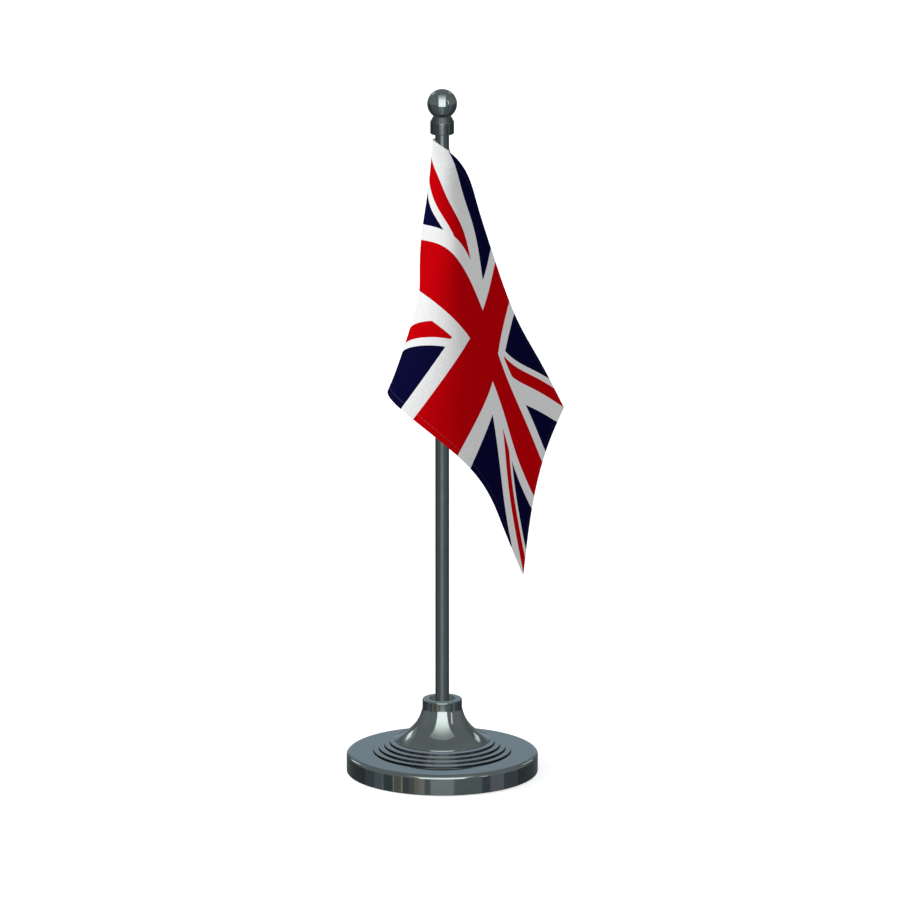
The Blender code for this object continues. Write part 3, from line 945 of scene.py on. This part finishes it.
def makeStopRing():
    clearSelection()
    bpy.ops.mesh.primitive_torus_add(
        major_segments=stopRing["sides"],
        minor_segments=stopRing["facets"],
        major_radius=stopRing["radius"] * mm,
        minor_radius=stopRing["section"] / 2 * mm,
        location=(0, 0, stopRing["height"] * mm),
    )
    item = bpy.context.object
    item.name = "flagStopRing"
    bpy.ops.object.transform_apply(location=True, rotation=True, scale=True)
    bpy.ops.object.mode_set(mode="EDIT")
    bpy.ops.mesh.select_all(action="DESELECT")
    bpy.ops.object.mode_set(mode="OBJECT")
    for corner in item.data.vertices:
        level = abs(corner.co.z / mm - stopRing["height"]) < 0.1
        corner.select = level and math.hypot(corner.co.x, corner.co.y) > stopRing["radius"] * mm
    bpy.ops.object.mode_set(mode="EDIT")
    share = 1 + stopRing["rib"] / stopRing["radius"]  # the mould's parting line, a faint rib outside
    bpy.ops.transform.resize(value=(share, share, 1), center_override=(0, 0, stopRing["height"] * mm))
    bpy.ops.object.mode_set(mode="OBJECT")
    bpy.ops.object.shade_smooth_by_angle(angle=math.radians(60))
    return item


flagCloth = makeFlag()
install(flagCloth, "flag", "satin", flagSatin, "flag_cloth")
flagSleeve = makeSleeve()
install(flagSleeve, "flag", "satin", hemSatin, "flag_sleeve")
install(makeStopRing(), "ring", "rubber", paleRubber, "flag_stop_ring")
print("flag, sleeve and stop ring made")


keptFinishes = {
    "base_weight": castIron,
    "base_plate": zincPlate,
    "clamp_bolt": zincPlate,
    "clamp_washer": zincPlate,
    "clamp_lock_washer": zincPlate,
}
for nodeName, finish in keptFinishes.items():
    cadNodes[nodeName].data.materials.clear()
    cadNodes[nodeName].data.materials.append(finish)
print("finishes put on", len(keptFinishes), "packed nodes")


studio = {
    "floorSize": 40.0,  # metres
    "floorTone": (0.80, 0.803, 0.806),
    "floorGlow": 0.6,
    "softTone": (0.56, 0.56, 0.56),  # what lights the cloth and the floor from all round
    "keyStrength": 1.9,
    "keyAngle": 22,
    "keyFrom": (-74, 27),  # azimuth from the viewer towards +X, and elevation
}
# The room that bright metal mirrors. Below the horizon it stands in plain upright bands, each from
# its azimuth to the next one's. The tones were set for the streaks that they put on the metal.
lowerRoom = (
    (-180, (0.12, 0.14, 0.15)), (-108, (0.19, 0.23, 0.26)), (-90, (0.30, 0.37, 0.40)),
    (-77.4, (0.62, 0.68, 0.68)), (-76.4, (0.17, 0.21, 0.23)), (-62.8, (0.85, 0.90, 0.86)),
    (-61.8, (0.37, 0.36, 0.32)), (-50.8, (1.25, 1.18, 0.72)), (-49.6, (0.20, 0.24, 0.26)),
    (-42, (0.34, 0.34, 0.31)), (-35, (0.60, 0.56, 0.50)), (-29, (0.74, 0.70, 0.63)),
    (-22, (0.31, 0.36, 0.37)), (-15, (0.72, 0.82, 0.84)), (14, (0.36, 0.44, 0.45)),
    (48, (0.18, 0.22, 0.26)), (60, (0.42, 0.44, 0.52)), (80, (0.20, 0.23, 0.27)),
    (104, (0.12, 0.14, 0.15)),
)
upperRoom = {
    "side": (0.56, 0.61, 0.61),
    "behind": (0.25, 0.29, 0.30),
    "ceiling": (0.50, 0.56, 0.56),
    "horizon": (-11.0, 1.0),  # elevations over which the lower bands give way
    "behindFrom": (95.0, 150.0),
    "ceilingFrom": (22.0, 48.0),
}
# Lamps and pale walls: azimuth and half width, lowest and highest elevation, edge softness, tone.
lamps = (
    (-180, 14, 4, 23, 6, (0.45, 0.57, 0.67)),
    (180, 14, 4, 23, 6, (0.45, 0.57, 0.67)),
    (-142, 9, 22, 36, 8, (0.68, 0.75, 0.78)),
    (-147, 3, 20, 31, 3, (2.9, 3.1, 3.2)),
    (53, 3, 5, 33, 2, (2.6, 2.8, 2.8)),
    (150, 2, 22, 33, 3, (2.2, 2.4, 2.5)),
)
frontBox = {
    "half": 25.0,
    "low": -10.0,
    "bright": 24.0,
    "high": 86.0,
    "soft": 3.0,
    "tone": (4.6, 4.8, 4.7),
    "dimTone": (1.05, 1.12, 1.10),
}


def lightFrom(name, azimuth, elevation, strength, spread):
    clearSelection()
    flat, rise = math.radians(azimuth), math.radians(elevation)
    towards = Vector((math.sin(flat) * math.cos(rise), -math.cos(flat) * math.cos(rise), math.sin(rise)))
    bpy.ops.object.light_add(type="SUN", location=towards * 2)
    lamp = bpy.context.object
    lamp.name = name
    lamp.rotation_euler = towards.to_track_quat("Z", "Y").to_euler()
    lamp.data.energy = strength
    lamp.data.angle = math.radians(spread)
    lamp.visible_glossy = False  # the softboxes in the room make the highlights


def roomWindow(tree, azimuth, elevation, middle, half, low, high, soft):
    # 1 inside a softbox, falling to 0 past its edges.
    sideways = calc(tree, "ABSOLUTE", calc(tree, "SUBTRACT", azimuth, middle))
    across = remap(tree, sideways, half, half + soft, 1.0, 0.0, True)
    aboveLow = remap(tree, elevation, low - soft, low, 0.0, 1.0, True)
    belowHigh = remap(tree, elevation, high, high + soft, 1.0, 0.0, True)
    return times(tree, across, times(tree, aboveLow, belowHigh))


def bandsBelowHorizon(tree, azimuth):
    ramp = tree.nodes.new("ShaderNodeValToRGB")
    ramp.color_ramp.interpolation = "CONSTANT"
    put(tree, ramp.inputs[0], remap(tree, azimuth, -180.0, 180.0, 0.0, 1.0))
    bands = ramp.color_ramp.elements
    bands.remove(bands[1])
    for number, (angle, tone) in enumerate(lowerRoom):
        band = bands[0] if number == 0 else bands.new((angle + 180) / 360)
        band.color = (*tone, 1)
    return ramp.outputs[0]


def mirroredRoom(tree):
    direction = tree.nodes.new("ShaderNodeTexCoord").outputs["Generated"]
    right, back, up = splitAxes(tree, direction)[:3]
    forward = times(tree, back, -1.0)
    degrees = 180 / math.pi
    azimuth = times(tree, calc(tree, "ARCTAN2", right, forward), degrees)
    elevation = times(tree, calc(tree, "ARCSINE", up), degrees)
    behindShare = remap(tree, calc(tree, "ABSOLUTE", azimuth), *upperRoom["behindFrom"], 0.0, 1.0, True)
    upper = blendColours(tree, behindShare, upperRoom["side"], upperRoom["behind"])
    ceilingShare = remap(tree, elevation, *upperRoom["ceilingFrom"], 0.0, 1.0, True)
    upper = blendColours(tree, ceilingShare, upper, upperRoom["ceiling"])
    upperShare = remap(tree, elevation, *upperRoom["horizon"], 0.0, 1.0, True)
    room = blendColours(tree, upperShare, bandsBelowHorizon(tree, azimuth), upper)
    for middle, half, low, high, soft, tone in lamps:
        window = roomWindow(tree, azimuth, elevation, middle, half, low, high, soft)
        room = blendColours(tree, window, room, tone)
    lateral = times(tree, calc(tree, "ARCSINE", right), degrees)
    pitch = times(tree, calc(tree, "ARCTAN2", up, forward), degrees)
    box = roomWindow(
        tree, lateral, pitch, 0.0, frontBox["half"], frontBox["low"], frontBox["high"], frontBox["soft"],
    )
    dimShare = remap(tree, pitch, frontBox["bright"], frontBox["high"], 0.0, 1.0, True)
    glow = blendColours(tree, dimShare, frontBox["tone"], frontBox["dimTone"])
    return blendColours(tree, box, room, glow)


def makeRoom():
    # Mirror finishes see the room, the camera sees white, and everything else gets an even soft light.
    world = bpy.data.worlds.new("studio")
    bpy.context.scene.world = world
    world.use_nodes = True
    tree = world.node_tree
    tree.nodes.clear()
    rays = tree.nodes.new("ShaderNodeLightPath").outputs
    room = blendColours(tree, rays["Is Glossy Ray"], studio["softTone"], mirroredRoom(tree))
    room = blendColours(tree, rays["Is Camera Ray"], room, (1.0, 1.0, 1.0))
    background = tree.nodes.new("ShaderNodeBackground")
    put(tree, background.inputs[0], room)
    background.inputs[1].default_value = 1.0
    output = tree.nodes.new("ShaderNodeOutputWorld")
    tree.links.new(background.outputs[0], output.inputs[0])


def makeFloor():
    clearSelection()
    bpy.ops.mesh.primitive_plane_add(size=studio["floorSize"], location=(0, 0, 0))
    floor = bpy.context.object
    floor.name = "floor"
    finish, tree, shader = newMaterial("pale floor", **{
        "Roughness": 0.9,
        "Emission Color": (1, 1, 1, 1),
        "Emission Strength": studio["floorGlow"],
    })
    mottle = remap(tree, grain(tree, objectPlace(tree), 3, 2), 0.3, 0.7, 0.0, 1.0)
    tone = studio["floorTone"]
    paleTone = tuple(part * 1.01 for part in tone)
    put(tree, shader.inputs["Base Color"], blendColours(tree, mottle, tone, paleTone))
    floor.data.materials.append(finish)
    floor.visible_glossy = False
    floor.visible_diffuse = False


makeRoom()
makeFloor()
lightFrom("keyLight", *studio["keyFrom"], studio["keyStrength"], studio["keyAngle"])
bpy.context.scene.view_settings.view_transform = "Standard"
print("studio lit")


view = {"target": (4.45, 0.0, 190.17), "distance": 6200.0, "elevation": 13.85, "lens": 434.3}


def makeCamera():
    clearSelection()
    rise = math.radians(view["elevation"])
    target = Vector(view["target"]) * mm
    place = target + Vector((0, -math.cos(rise), math.sin(rise))) * view["distance"] * mm
    bpy.ops.object.camera_add(location=place, rotation=(math.pi / 2 - rise, 0, 0))
    camera = bpy.context.object
    camera.data.lens = view["lens"]
    camera.data.sensor_width = 36
    camera.data.clip_end = 100
    bpy.context.scene.camera = camera


makeCamera()
clearSelection()
print("camera placed")
